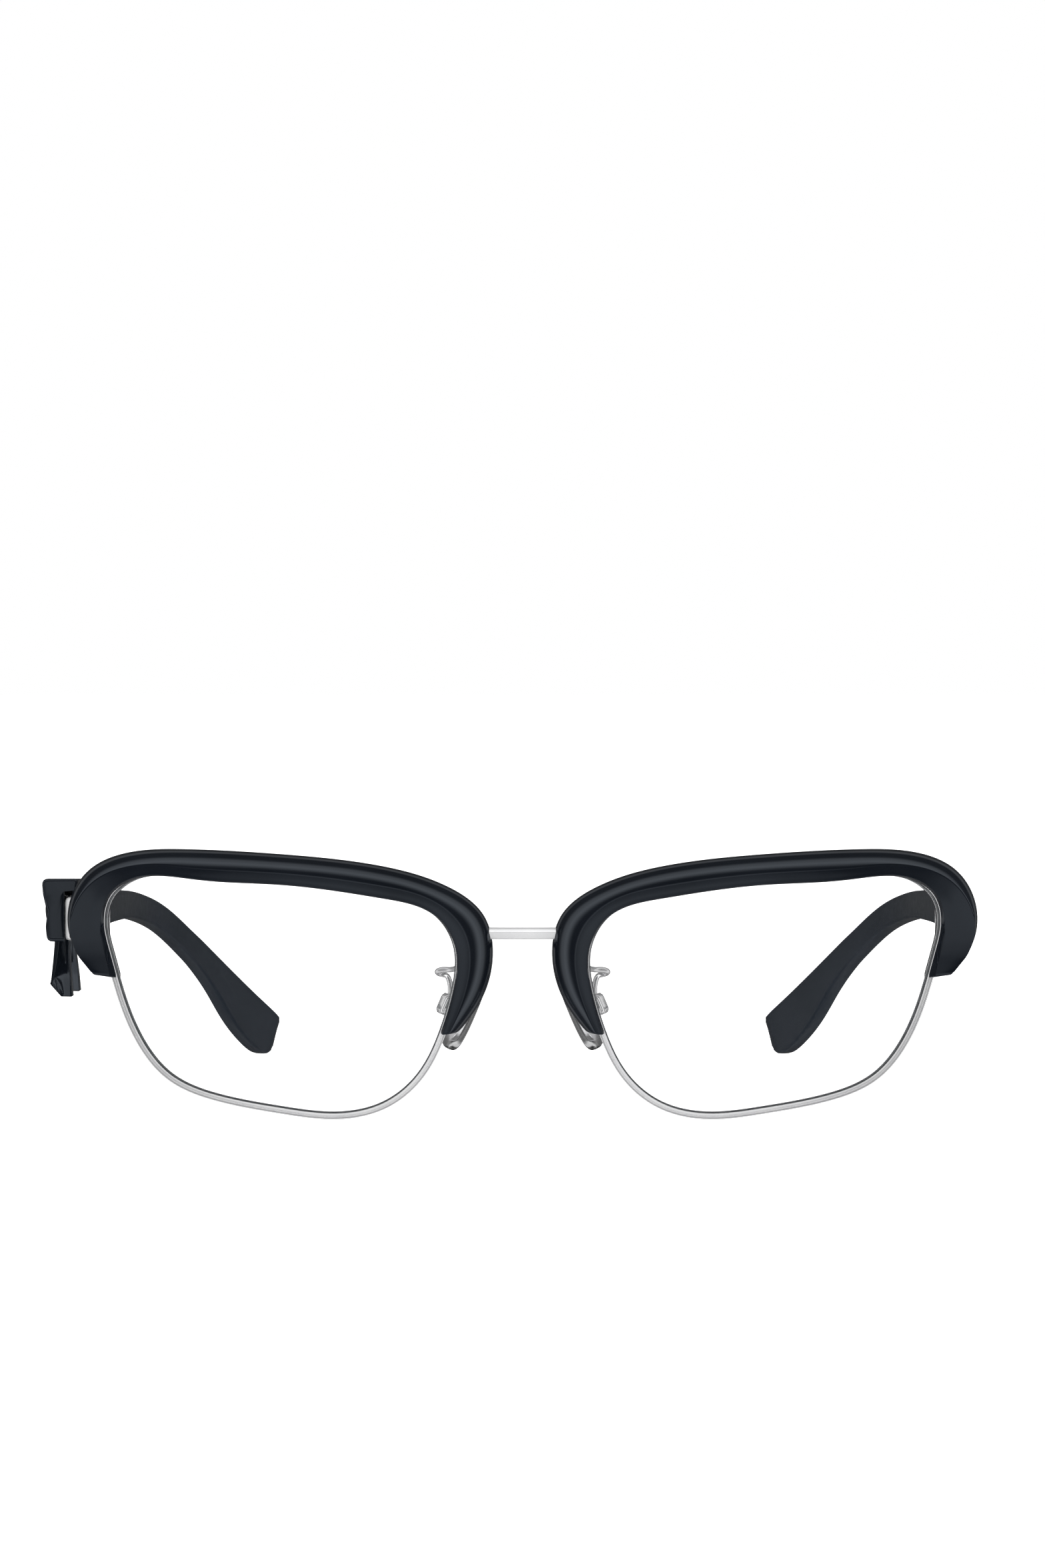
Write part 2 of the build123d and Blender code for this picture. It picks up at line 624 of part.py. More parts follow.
def make_bow_tail(outline):
    with BuildPart() as tail:
        with BuildSketch(Plane.YZ.offset(TAIL_X[0])):
            Polygon(*outline, align=None)
        extrude(amount=TAIL_X[1] - TAIL_X[0])
        fillet(tail.edges(), radius=BOW_ROUND / 2)
        clear_of_clip()
    return tail.part


def make_bow_screws():
    knot_middle = sum(KNOT_Y) / 2
    tip_x = KNOT_X[1] - BOW_SCREW_HOLE_END - BOW_SCREW_TIP_GAP
    shoulder_x = CLIP_SPACE_X[1] + SCREW_HEAD_HEIGHT + CLEARANCE
    with BuildPart() as screws:
        for z in BOW_SCREW_Z:
            tip, shoulder = (tip_x, knot_middle, z), (shoulder_x, knot_middle, z)
            screw(tip, shoulder, BOW_SCREW_RADIUS, BOW_SCREW_HEAD_RADIUS)
    return screws.part


os.makedirs("parts", exist_ok=True)
save_pair(make_rim(), "rim")
save_pair(make_lens(), "lens")
save_pair(make_brow(), "brow")
save_pair(make_brow_screws(), "brow_screws")
save(make_bridge(), "bridge")
save_pair(make_pad_arm(), "pad_arm")
save_pair(make_pad_box(), "pad_box")
save_pair(make_pad_screw(), "pad_screw")
save_pair(make_nose_pad(), "nose_pad")
save_pair(make_endpiece(), "endpiece")
save_pair(make_rim_lock(), "rim_lock")
save_pair(make_rim_lock_screw(), "rim_lock_screw")
save_pair(make_hinge_screw(), "hinge_screw")
save_pair(make_temple(), "temple")
save_pair(make_temple_hinge(), "temple_hinge")
save_pair(make_temple_rivets(), "temple_rivets")
save(make_bow_clip().mirror(Plane.YZ), "bow_clip")
save(make_bow_loop(KNOT_Y[0], -1).mirror(Plane.YZ), "bow_loop_front")
save(make_bow_loop(KNOT_Y[1], 1).mirror(Plane.YZ), "bow_loop_rear")
save(make_bow_knot().mirror(Plane.YZ), "bow_knot")
save(make_bow_tail(FRONT_TAIL).mirror(Plane.YZ), "bow_tail_front")
save(make_bow_tail(REAR_TAIL).mirror(Plane.YZ), "bow_tail_rear")
save(make_bow_screws().mirror(Plane.YZ), "bow_screws")
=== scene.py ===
"""Half rim eyeglasses: sculpted acetate brows, silver eyewires, satin temples and a bow on one temple.

The CAD model is the frame. Pieces drawn here are in millimetres in the CAD's axes (+X the wearer's left,
+Y back, +Z up) and are turned into metres when their mesh is made. A piece that comes in a pair is drawn
for the wearer's left side and mirrored for the right.
"""

import math

import bmesh
import bpy
import numpy as np
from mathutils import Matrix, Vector


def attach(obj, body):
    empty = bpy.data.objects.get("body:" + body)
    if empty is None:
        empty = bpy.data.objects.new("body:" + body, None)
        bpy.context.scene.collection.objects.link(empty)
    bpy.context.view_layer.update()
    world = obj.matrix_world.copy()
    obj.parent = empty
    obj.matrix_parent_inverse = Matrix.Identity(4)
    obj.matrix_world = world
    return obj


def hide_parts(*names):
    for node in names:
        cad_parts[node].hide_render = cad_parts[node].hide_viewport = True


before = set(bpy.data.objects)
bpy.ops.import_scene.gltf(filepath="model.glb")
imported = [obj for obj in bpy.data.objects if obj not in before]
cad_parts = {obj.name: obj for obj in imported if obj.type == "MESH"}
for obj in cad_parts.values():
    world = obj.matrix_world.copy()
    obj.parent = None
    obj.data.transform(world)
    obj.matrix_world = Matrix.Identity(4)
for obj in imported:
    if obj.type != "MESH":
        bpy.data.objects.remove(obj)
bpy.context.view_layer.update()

MM = 0.001
LEFT, RIGHT = 1, -1
SIDES = {"left": LEFT, "right": RIGHT}
SHARP_ANGLE = math.radians(46)
ARC_STEPS = 5  # points on a rounded corner

# ---- Shape of the front, in millimetres ----
LENS_RADIUS = 150.0
LENS_CENTRE = (30.65, 19.0)
RIM_WIDTH = 1.0
RIM_HALF_DEPTH = 0.9
LENS_HALF_THICKNESS = 0.7
LENS_BITE = 0.5
GAP = 0.03
BROW_FRONT = -3.0
BROW_REAR = 2.3
BROW_LIP = 0.2
OPENING = [
    (38.0, 37.45), (52.0, 38.2), (61.4, 37.85), (65.2, 34.9), (66.1, 31.0), (65.2, 26.6), (63.3, 20.0),
    (60.3, 12.8), (55.6, 7.1), (48.0, 3.85), (38.0, 1.95), (28.5, 1.15), (22.0, 2.75), (16.6, 7.2),
    (12.9, 14.6), (11.0, 21.5), (10.75, 26.6), (13.6, 32.0), (22.6, 35.35),
]
BROW_EDGE = [
    (10.0, 13.95), (6.5, 18.9), (4.7, 25.5), (6.1, 32.2), (12.0, 36.9), (22.3, 40.1), (38.0, 41.95),
    (54.0, 42.7), (62.8, 42.05), (68.8, 39.3), (71.7, 34.7), (71.8, 29.6), (70.0, 25.6),
]
BROW_CORNER = (67.4, 22.8)  # the edge runs straight from its last point to this corner
BROW_END_Z = (13.6, 22.35)  # height of the brow's nasal and temporal end on the opening
BROW_STATIONS = 150
BROW_END_ROUND = 0.35
# Share of the way along the brow, and how much of its width the front roll takes.
BROW_ROLL = [
    (0.0, 0.7), (0.2, 0.72), (0.5, 0.78), (0.65, 0.77), (0.73, 0.7), (0.82, 0.49), (0.86, 0.37), (0.91, 0.18),
    (0.94, 0.1), (1.0, 0.06),
]
# Share of the way along the brow, and how far outside the opening its front lip ends (less than 0 is inside).
BROW_LIPS = [
    (0.0, 0.2), (0.2, 0.0), (0.35, -0.4), (0.6, -0.5), (0.75, -0.1), (0.86, 0.2), (0.9, 0.3), (0.92, 0.75),
    (1.0, 0.75),
]
BROW_WALL_FOOT = -0.15  # the wall behind the lip ends no further out from the brow's inner edge
BROW_ROLL_DEPTH = 3.1
BROW_ROLL_END = math.radians(70)  # the roll stops here, before it is flat, and meets the facet in a crease
BROW_FACET_SLOPE = 0.25
BROW_FACET_HOLLOW = 0.3  # share by which it starts steeper, and ends flatter, than its mean slope


# ---- Curves and meshes ----
def smooth_curve(points, count, closed=False):
    """Evenly spaced points on a smooth curve through the given points."""
    knots = np.array(points, float)
    if closed:
        knots = np.vstack([knots, knots[:1]])
    gaps = np.linalg.norm(np.diff(knots, axis=0), axis=1)
    total = len(knots)
    matrix = np.zeros((total, total))
    wanted = np.zeros_like(knots)
    for i in range(1, total - 1):
        matrix[i, i - 1 : i + 2] = gaps[i - 1], 2 * (gaps[i - 1] + gaps[i]), gaps[i]
        wanted[i] = 6 * ((knots[i + 1] - knots[i]) / gaps[i] - (knots[i] - knots[i - 1]) / gaps[i - 1])
    matrix[0, 0] = matrix[-1, -1] = 1
    if closed:
        matrix[0, -1] = -1
        matrix[-1, [0, 1, -2, -1]] = 2 * gaps[0], gaps[0], gaps[-1], 2 * gaps[-1]
        wanted[-1] = 6 * ((knots[1] - knots[0]) / gaps[0] - (knots[-1] - knots[-2]) / gaps[-1])
    bends = np.linalg.solve(matrix, wanted)
    times = np.concatenate([[0], np.cumsum(gaps)])
    fine = np.linspace(0, times[-1], 20 * count)
    run = np.clip(np.searchsorted(times, fine, side="right") - 1, 0, total - 2)
    gap = gaps[run][:, None]
    before = (times[run + 1] - fine)[:, None] / gap
    after = 1 - before
    curve = before * knots[run] + after * knots[run + 1]
    curve += ((before**3 - before) * bends[run] + (after**3 - after) * bends[run + 1]) * gap**2 / 6
    return evenly(curve, count)


def evenly(curve, count):
    """The same polyline with evenly spaced points."""
    lengths = np.concatenate([[0], np.cumsum(np.linalg.norm(np.diff(curve, axis=0), axis=1))])
    places = np.linspace(0, lengths[-1], count)
    return np.stack([np.interp(places, lengths, axis) for axis in curve.T], axis=1)


def by_share(table, shares):
    """Smooth values between the (share, value) rows of a table."""
    rows = np.array(table, float)
    fine = np.linspace(0, 1, 400)
    values = np.interp(fine, rows[:, 0], rows[:, 1])
    for _ in range(60):
        values[1:-1] = (values[:-2] + 2 * values[1:-1] + values[2:]) / 4
    return np.interp(shares, fine, values)


def rounded(corners):
    """An outline with rounded corners, from (across, up, radius) of each corner in turn."""
    places = [np.array(corner[:2], float) for corner in corners]
    outline = []
    for i, (place, corner) in enumerate(zip(places, corners)):
        if corner[2] == 0:
            outline.append(place)
            continue
        to_before = places[i - 1] - place
        to_after = places[(i + 1) % len(places)] - place
        reach_before, reach_after = np.linalg.norm(to_before), np.linalg.norm(to_after)
        turn = np.clip(to_before @ to_after / (reach_before * reach_after), -0.999, 0.999)
        cut = min(corner[2] / math.tan(math.acos(turn) / 2), 0.49 * reach_before, 0.49 * reach_after)
        start = place + to_before * cut / reach_before
        end = place + to_after * cut / reach_after
        for step in np.linspace(0, 1, ARC_STEPS):
            outline.append((1 - step) ** 2 * start + 2 * step * (1 - step) * place + step**2 * end)
    return np.array(outline)


def round_off(rings, radius, at_end):
    """The rings with the first or last end rounded over by that radius."""
    end, neighbour = (rings[-1], rings[-2]) if at_end else (rings[0], rings[1])
    middle = end.mean(axis=0)
    outwards = middle - neighbour.mean(axis=0)
    outwards /= np.linalg.norm(outwards)
    spokes = end - middle
    lengths = np.linalg.norm(spokes, axis=1, keepdims=True)
    extra = []
    for angle in np.radians([0, 25, 50, 72, 90]):
        inset = np.minimum(radius * (1 - math.cos(angle)), 0.8 * lengths)
        extra.append(middle + spokes * (1 - inset / lengths) + outwards * radius * (math.sin(angle) - 1))
    return rings[:-1] + extra if at_end else extra[::-1] + rings[1:]


def round_ends(rings, first_radius, last_radius):
    """The rings with both ends rounded over."""
    return round_off(round_off(rings, last_radius, True), first_radius, False)


def rectangle(across, up, corner):
    """A rounded rectangle, from its (low, high) reach each way."""
    (left, right), (bottom, top) = across, up
    corners = [(left, bottom), (right, bottom), (right, top), (left, top)]
    return rounded([(*place, corner) for place in corners])


def directions(path):
    """The unit direction of a path at each of its points."""
    along = np.gradient(path, axis=0)
    return along / np.linalg.norm(along, axis=1, keepdims=True)


def skin(rings, closed=False):
    """Points and faces of a surface stretched over rings of points, with flat ends unless closed."""
    count, size = len(rings), len(rings[0])
    points = np.concatenate(rings)
    faces = []
    for i in range(count if closed else count - 1):
        here, there = i * size, (i + 1) % count * size
        for j in range(size):
            after = (j + 1) % size
            faces.append((here + j, here + after, there + after, there + j))
    if not closed:
        faces.append(tuple(range(size))[::-1])
        faces.append(tuple(range((count - 1) * size, count * size)))
    return points, faces


def add_piece(name, points, faces, material, body, slot, *nodes):
    """A mesh piece, in place of those CAD nodes."""
    mesh = bpy.data.meshes.new(name)
    mesh.from_pydata((np.asarray(points) * MM).tolist(), [], faces)
    work = bmesh.new()
    work.from_mesh(mesh)
    bmesh.ops.remove_doubles(work, verts=work.verts, dist=1e-7)
    bmesh.ops.recalc_face_normals(work, faces=work.faces)
    work.to_mesh(mesh)
    work.free()
    mesh.polygons.foreach_set("use_smooth", [True] * len(mesh.polygons))
    mesh.set_sharp_from_angle(angle=SHARP_ANGLE)
    mesh.materials.append(material)
    piece = bpy.data.objects.new(name, mesh)
    bpy.context.scene.collection.objects.link(piece)
    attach(piece, body)
    if nodes:
        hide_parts(*nodes)


def add_pair(name, rings, material, slot, node, body="front", closed=False):
    """A piece for each side, in place of the CAD node of that name."""
    points, faces = skin(rings, closed)
    for side, sign in SIDES.items():
        place = body if body == "front" else f"{body}_{side}"
        add_piece(f"{name}_{side}", points * (sign, 1, 1), faces, material, place, slot, f"{node}_{side}")


def front_ring(inner, across, section):
    """A ring of the front: the section's (distance outwards, depth) points, square to the lens."""
    flat = inner + np.outer(section[:, 0], across) - LENS_CENTRE
    y = LENS_RADIUS - np.sqrt(LENS_RADIUS**2 - (flat**2).sum(axis=1))
    on_lens = np.stack([flat[:, 0], y - LENS_RADIUS, flat[:, 1]], axis=1)
    centre = (LENS_CENTRE[0], LENS_RADIUS, LENS_CENTRE[1])
    return centre + on_lens * (1 - section[:, 1:] / LENS_RADIUS)


def grown(curve, amount):
    """The flat closed outline moved outwards by that much, and its outward directions."""
    along = np.roll(curve, -1, axis=0) - np.roll(curve, 1, axis=0)
    along /= np.linalg.norm(along, axis=1, keepdims=True)
    outwards = np.stack([-along[:, 1], along[:, 0]], axis=1)
    return curve + outwards * amount, outwards


# ---- Materials ----
BLUE_BLACK = (0.8, 0.89, 1.0, 1.0)  # tint of the reflections in black acetate


def new_material(name):
    """A node material and its main shader."""
    material = bpy.data.materials.new(name)
    material.use_nodes = True
    return material, material.node_tree.nodes["Principled BSDF"]


def noise(material, scale, detail=3.0, stretch=(1.0, 1.0, 1.0)):
    """A noise pattern fixed to the object, as many to the metre as the scale says."""
    nodes, links = material.node_tree.nodes, material.node_tree.links
    place = nodes.new("ShaderNodeTexCoord")
    mapping = nodes.new("ShaderNodeMapping")
    mapping.inputs["Scale"].default_value = stretch
    pattern = nodes.new("ShaderNodeTexNoise")
    pattern.inputs["Scale"].default_value = scale
    pattern.inputs["Detail"].default_value = detail
    links.new(place.outputs["Object"], mapping.inputs["Vector"])
    links.new(mapping.outputs["Vector"], pattern.inputs["Vector"])
    return pattern.outputs["Fac"]


def vary(material, pattern, low, high, socket):
    """The pattern turned into a number or colour between low and high, on a shader's socket."""
    ramp = material.node_tree.nodes.new("ShaderNodeValToRGB")
    for stop, value in zip(ramp.color_ramp.elements, (low, high)):
        stop.color = (*value, 1) if isinstance(value, tuple) else (value, value, value, 1)
    ramp.color_ramp.elements[0].position = 0.3
    ramp.color_ramp.elements[1].position = 0.7
    material.node_tree.links.new(pattern, ramp.inputs["Fac"])
    material.node_tree.links.new(ramp.outputs["Color"], socket)


def bump(material, pattern, shader, height, strength=1.0):
    """Small relief of that height, in metres."""
    relief = material.node_tree.nodes.new("ShaderNodeBump")
    relief.inputs["Distance"].default_value = height
    relief.inputs["Strength"].default_value = strength
    material.node_tree.links.new(pattern, relief.inputs["Height"])
    material.node_tree.links.new(relief.outputs["Normal"], shader.inputs["Normal"])


def make_gloss_acetate():
    """Polished black acetate: slightly blue, with faint waves left by hand polishing."""
    material, shader = new_material("gloss_acetate")
    colour = shader.inputs["Base Color"]
    vary(material, noise(material, 60), (0.003, 0.004, 0.006), (0.006, 0.0075, 0.0105), colour)
    vary(material, noise(material, 400), 0.06, 0.1, shader.inputs["Roughness"])
    bump(material, noise(material, 220, 1), shader, 0.000003, 0.4)
    shader.inputs["IOR"].default_value = 1.5
    shader.inputs["Specular Tint"].default_value = BLUE_BLACK
    return material


def make_satin_acetate():
    """Tumbled black acetate: the same colour with a soft sheen and a fine grain."""
    material, shader = new_material("satin_acetate")
    colour = shader.inputs["Base Color"]
    vary(material, noise(material, 80), (0.005, 0.0075, 0.012), (0.008, 0.0105, 0.016), colour)
    vary(material, noise(material, 900), 0.3, 0.36, shader.inputs["Roughness"])
    bump(material, noise(material, 1500, 2), shader, 0.000001, 0.2)
    shader.inputs["IOR"].default_value = 1.45
    shader.inputs["Specular IOR Level"].default_value = 0.16
    shader.inputs["Specular Tint"].default_value = BLUE_BLACK
    return material


def make_polished_metal():
    """Silver-coloured plating, with the faint streaks of the polishing wheel."""
    material, shader = new_material("silver_plating")
    shader.inputs["Metallic"].default_value = 0.75
    vary(material, noise(material, 150), (0.8, 0.8, 0.815), (0.88, 0.88, 0.885), shader.inputs["Base Color"])
    vary(material, noise(material, 1200, 3, (1, 1, 0.15)), 0.07, 0.11, shader.inputs["Roughness"])
    bump(material, noise(material, 600, 2, (1, 1, 0.1)), shader, 0.0000005, 0.3)
    return material


def make_screw_steel():
    """Turned steel, duller than the plating."""
    material, shader = new_material("turned_steel")
    shader.inputs["Metallic"].default_value = 1.0
    vary(material, noise(material, 900), (0.5, 0.5, 0.51), (0.62, 0.62, 0.62), shader.inputs["Base Color"])
    vary(material, noise(material, 4000, 4), 0.24, 0.38, shader.inputs["Roughness"])
    bump(material, noise(material, 9000, 3), shader, 0.000003, 0.5)
    return material


def make_lens_plastic():
    """Clear lens, all but unseen, with the faintest tint of its coating."""
    material, shader = new_material("clear_lens")
    vary(material, noise(material, 25), (0.18, 0.2, 0.22), (0.22, 0.24, 0.25), shader.inputs["Base Color"])
    vary(material, noise(material, 300), 0.01, 0.03, shader.inputs["Roughness"])
    shader.inputs["Specular IOR Level"].default_value = 0.2
    shader.inputs["Alpha"].default_value = 0.012
    return material


def make_lens_edge():
    """Ground edge of the lens, painted dark as shade: the dark it takes from only seeing the metal round it.
    """
    material, shader = new_material("lens_edge_painted_shade")
    # painted shade: a near-black colour for the dark line the bevel shows inside the eyewire
    vary(material, noise(material, 800), (0.05, 0.055, 0.06), (0.1, 0.105, 0.11), shader.inputs["Base Color"])
    vary(material, noise(material, 3000), 0.4, 0.55, shader.inputs["Roughness"])
    return material


def make_clear_silicone():
    """Soft clear pad material."""
    material, shader = new_material("clear_silicone")
    colour = shader.inputs["Base Color"]
    vary(material, noise(material, 200), (0.93, 0.935, 0.94), (0.97, 0.97, 0.975), colour)
    vary(material, noise(material, 1500), 0.03, 0.07, shader.inputs["Roughness"])
    bump(material, noise(material, 300, 1), shader, 0.000002, 0.3)
    shader.inputs["Transmission Weight"].default_value = 1.0
    shader.inputs["IOR"].default_value = 1.41
    return material


def make_floor_paper():
    """Plain white studio paper, as pale as the backdrop, that leaves the reflections to the studio."""
    material, shader = new_material("studio_paper")
    nodes, links = material.node_tree.nodes, material.node_tree.links
    rays = nodes.new("ShaderNodeLightPath")
    unreflected = nodes.new("ShaderNodeMath")
    unreflected.operation = "SUBTRACT"
    unreflected.inputs[0].default_value = 1.0
    links.new(rays.outputs["Is Glossy Ray"], unreflected.inputs[1])
    links.new(unreflected.outputs["Value"], shader.inputs["Alpha"])
    vary(material, noise(material, 40), (0.86, 0.86, 0.86), (0.88, 0.88, 0.88), shader.inputs["Base Color"])
    shader.inputs["Roughness"].default_value = 0.9
    shader.inputs["Specular IOR Level"].default_value = 0.1
    shader.inputs["Emission Color"].default_value = (1, 1, 1, 1)
    shader.inputs["Emission Strength"].default_value = 0.9
    return material


GLOSS = make_gloss_acetate()
SATIN = make_satin_acetate()
METAL = make_polished_metal()
STEEL = make_screw_steel()
LENS = make_lens_plastic()
LENS_EDGE_SHADE = make_lens_edge()
PAD = make_clear_silicone()


# ---- Front ----
def make_brows():
    """Brows swept from the nose over the top to the temple: a deep roll outside, a hollow facet inside."""
    opening, _ = grown(smooth_curve(OPENING, 900, closed=True)[:-1], BROW_LIP)
    nasal_side = opening[:, 0] < LENS_CENTRE[0]
    nasal = point_at_height(opening, BROW_END_Z[0], nasal_side)
    temporal = point_at_height(opening, BROW_END_Z[1], ~nasal_side)
    order = np.arange(nasal, nasal + (temporal - nasal) % len(opening) + 1) % len(opening)
    inner_edge = evenly(opening[order], 3000)
    outer = evenly(np.vstack([smooth_curve(BROW_EDGE, 600), BROW_CORNER]), BROW_STATIONS)
    nearest = np.array([np.argmin(np.linalg.norm(inner_edge - point, axis=1)) for point in outer], float)
    for _ in range(12):
        nearest[1:-1] = (nearest[:-2] + 2 * nearest[1:-1] + nearest[2:]) / 4
    places = (nearest - nearest[0]) / (nearest[-1] - nearest[0]) * (len(inner_edge) - 1)
    rows = np.arange(len(inner_edge))
    inner = np.stack([np.interp(places, rows, axis) for axis in inner_edge.T], axis=1)
    shares = np.linspace(0, 1, BROW_STATIONS)
    rolls, lips = by_share(BROW_ROLL, shares), by_share(BROW_LIPS, shares)
    rings = []
    for start, end, roll_share, lip in zip(inner, outer, rolls, lips):
        width = np.linalg.norm(end - start)
        section = brow_section(width, roll_share * width, lip - BROW_LIP)
        rings.append(front_ring(start, (end - start) / width, section))
    rings = round_ends(rings, BROW_END_ROUND, BROW_END_ROUND)
    add_pair("brow_shaped", rings, GLOSS, "black_acetate", "brow")


def point_at_height(outline, z, allowed):
    """Index of the allowed point of the outline nearest that height."""
    return int(np.argmin(np.where(allowed, np.abs(outline[:, 1] - z), np.inf)))


def brow_section(width, roll, front_lip):
    """The brow's cross-section: distance from its inner edge, and depth behind the eyewire's middle."""
    crest = width - roll
    groove_half, groove_end = RIM_HALF_DEPTH + GAP, RIM_WIDTH - BROW_LIP + GAP
    corners = [
        (0, groove_half, 0.1), (0, BROW_REAR, 0.3), (width - 0.1, BROW_REAR, 0.7), (width, 0.5, 0.4),
    ]
    for turn in np.linspace(0, BROW_ROLL_END, 18):
        across = (1 - math.cos(turn)) / (1 - math.cos(BROW_ROLL_END))
        forwards = math.sin(turn) / math.sin(BROW_ROLL_END)
        corners.append((width - roll * across, BROW_FRONT + BROW_ROLL_DEPTH * (1 - forwards), 0))
    facet = crest - front_lip
    for share in (0.03, 0.1, 0.3, 0.6):
        fall = BROW_FACET_SLOPE * facet * share * (1 + BROW_FACET_HOLLOW * (1 - share))
        corners.append((crest - facet * share, BROW_FRONT + fall, 0))
    lip_depth = BROW_FRONT + BROW_FACET_SLOPE * facet
    corners += [
        (front_lip, lip_depth, 0.12), (min(front_lip, BROW_WALL_FOOT), -groove_half, 0.05),
        (groove_end, -groove_half, 0.05), (groove_end, groove_half, 0.05),
    ]
    return rounded(corners)


def rings_round_opening(section):
    """Rings of that section all the way round the opening."""
    opening, outwards = grown(smooth_curve(OPENING, 280, closed=True)[:-1], 0)
    return [front_ring(inner, across, section) for inner, across in zip(opening, outwards)]


def make_lens_edges():
    """The frosted bevel of each lens, given a dark colour as painted shade so that it shows as a dark line
    inside the eyewire.
    """
    section = rounded([(-0.04, -0.4, 0.05), (0.45, -0.1, 0.05), (0.45, 0.1, 0.05), (-0.04, 0.4, 0.05)])
    points, faces = skin(rings_round_opening(section), closed=True)
    for side, sign in SIDES.items():
        add_piece(f"lens_bevel_{side}", points * (sign, 1, 1), faces, LENS_EDGE_SHADE, "front", "clear_lens")


def make_rims():
    """Eyewires with two beads along the front and a groove for the lens inside."""
    bite, half = LENS_BITE + GAP, LENS_HALF_THICKNESS + GAP
    middle = RIM_WIDTH / 2
    section = rounded([
        (0, -RIM_HALF_DEPTH, 0.22), (middle - 0.07, -RIM_HALF_DEPTH - 0.02, 0.12), (middle, -0.86, 0.03),
        (middle + 0.07, -RIM_HALF_DEPTH - 0.02, 0.12), (RIM_WIDTH, -RIM_HALF_DEPTH, 0.3),
        (RIM_WIDTH, RIM_HALF_DEPTH, 0.3), (0, RIM_HALF_DEPTH, 0.2), (0, half, 0.05), (bite, half, 0.05),
        (bite, -half, 0.05), (0, -half, 0.05),
    ])
    add_pair("rim_beaded", rings_round_opening(section), METAL, "polished_metal", "rim", closed=True)


# ---- Bridge ----
BRIDGE_Z = 29.4
BRIDGE_PATH = [(-11.25, 3.2), (-5.8, 2.32), (0.0, 2.0), (5.8, 2.32), (11.25, 3.2)]  # X and Y
BRIDGE_SECTION = [
    (-0.78, -0.9, 0.15), (0.8, -0.9, 0.22), (0.8, 0.9, 0.3), (-0.3, 0.9, 0.15), (-0.8, 0.25, 0.08),
]


def make_bridge():
    """A flat bar with a bevelled top edge, bowed a little forwards."""
    path = smooth_curve(BRIDGE_PATH, 60)
    section = rounded(BRIDGE_SECTION)
    rings = []
    for place, (run_x, run_y) in zip(path, directions(path)):
        flat = place + np.outer(section[:, 0], (-run_y, run_x))
        rings.append(np.column_stack([flat, BRIDGE_Z + section[:, 1]]))
    add_piece("bridge_bar", *skin(rings), METAL, "front", "polished_metal", "bridge")


# ---- Nose pads ----
PAD_CENTRE = np.array([9.3, 11.3, 16.9])
PAD_FACE = np.array([-0.814, 0.458, -0.356])
PAD_ACROSS = np.array([0.431, 0.888, 0.158])
PAD_LENGTH, PAD_WIDTH = 14.0, 7.6
PAD_AXIS = (0.0, 0.5, -3.1)  # place of the screw it rocks on, in the pad's own frame
PAD_BACK, PAD_FRONT = -1.2, 0.6
PAD_CORNER, PAD_END_ROUND = 0.8, 0.3
PAD_BEND = 0.5  # how far the pad's ends curl towards the nose
CORE_LENGTH, CORE_WIDTH = 11.4, 5.4
CORE_BACK, CORE_FRONT = -0.6, -0.1
CORE_CORNER, CORE_BEND = 0.15, 0.3
BOX_HALF_WIDTH, BOX_HALF_HEIGHT, BOX_HALF_DEPTH = 1.3, 1.7, 1.2
BOX_CORNER, BOX_END_ROUND = 0.8, 0.7
POST_HALF_WIDTH, POST_HALF_HEIGHT, POST_CORNER = 0.6, 0.75, 0.2
POST_PAST_SCREW, POST_FRONT = 0.65, -0.5
PAD_ARM_RADIUS = 0.45
TUBE_SIDES = 16
PAD_ARM_PATH = [
    (10.4, 2.2, 23.9), (11.5, 4.4, 23.5), (12.8, 6.0, 23.4), (13.55, 7.4, 23.0), (13.0, 8.7, 22.55),
    (12.1, 9.3, 22.25), (11.62, 9.6, 21.2), (11.52, 9.85, 18.97),
]


def on_pad(points):
    """Points from the pad's own frame (across, along, towards the nose)."""
    along = np.cross(PAD_FACE, PAD_ACROSS)
    return PAD_CENTRE + np.asarray(points) @ np.stack([PAD_ACROSS, along, PAD_FACE])


def pad_rings(length, width, back, front, corner, bend):
    """A flat oval pad as rings along its length, between its back and front face."""
    rings = []
    for turn in np.linspace(-0.5 * math.pi, 0.5 * math.pi, 41)[1:-1]:
        share = math.sin(turn)
        half = width / 2 * math.cos(turn) ** 0.85
        middle, depth = (back + front) / 2, (front - back) / 2 * min(1.0, 0.45 + math.cos(turn))
        round_by = min(corner, 0.45 * depth * 2, 0.45 * half * 2)
        section = rectangle((-half, half), (middle - depth, middle + depth), round_by)
        along = np.full(len(section), share * length / 2)
        rings.append(np.column_stack([section[:, 0], along, section[:, 1] + bend * share**2]))
    return rings


def make_pads():
    """Clear nose pads."""
    rings = pad_rings(PAD_LENGTH, PAD_WIDTH, PAD_BACK, PAD_FRONT, PAD_CORNER, PAD_BEND)
    rings = [on_pad(ring) for ring in round_ends(rings, PAD_END_ROUND, PAD_END_ROUND)]
    add_pair("pad_clear", rings, PAD, "clear_pad", "nose_pad", body="nose_pad")


def bar_rings(half_width, half_height, corner, depths):
    """Rings of a rounded bar that stands square to the pad on its screw, in the pad's own frame."""
    across, along, _ = PAD_AXIS
    section = rectangle((-half_width, half_width), (-half_height, half_height), corner) + (across, along)
    return [np.column_stack([section, np.full(len(section), depth)]) for depth in depths]


def make_pad_boxes():
    """Rounded metal boxes behind the pads."""
    depths = [PAD_AXIS[2] + step for step in np.linspace(-BOX_HALF_DEPTH, BOX_HALF_DEPTH, 7)]
    rings = bar_rings(BOX_HALF_WIDTH, BOX_HALF_HEIGHT, BOX_CORNER, depths)
    rings = round_ends(rings, BOX_END_ROUND, BOX_END_ROUND)
    add_pair("pad_box_round", [on_pad(ring) for ring in rings], METAL, "polished_metal", "pad_box")


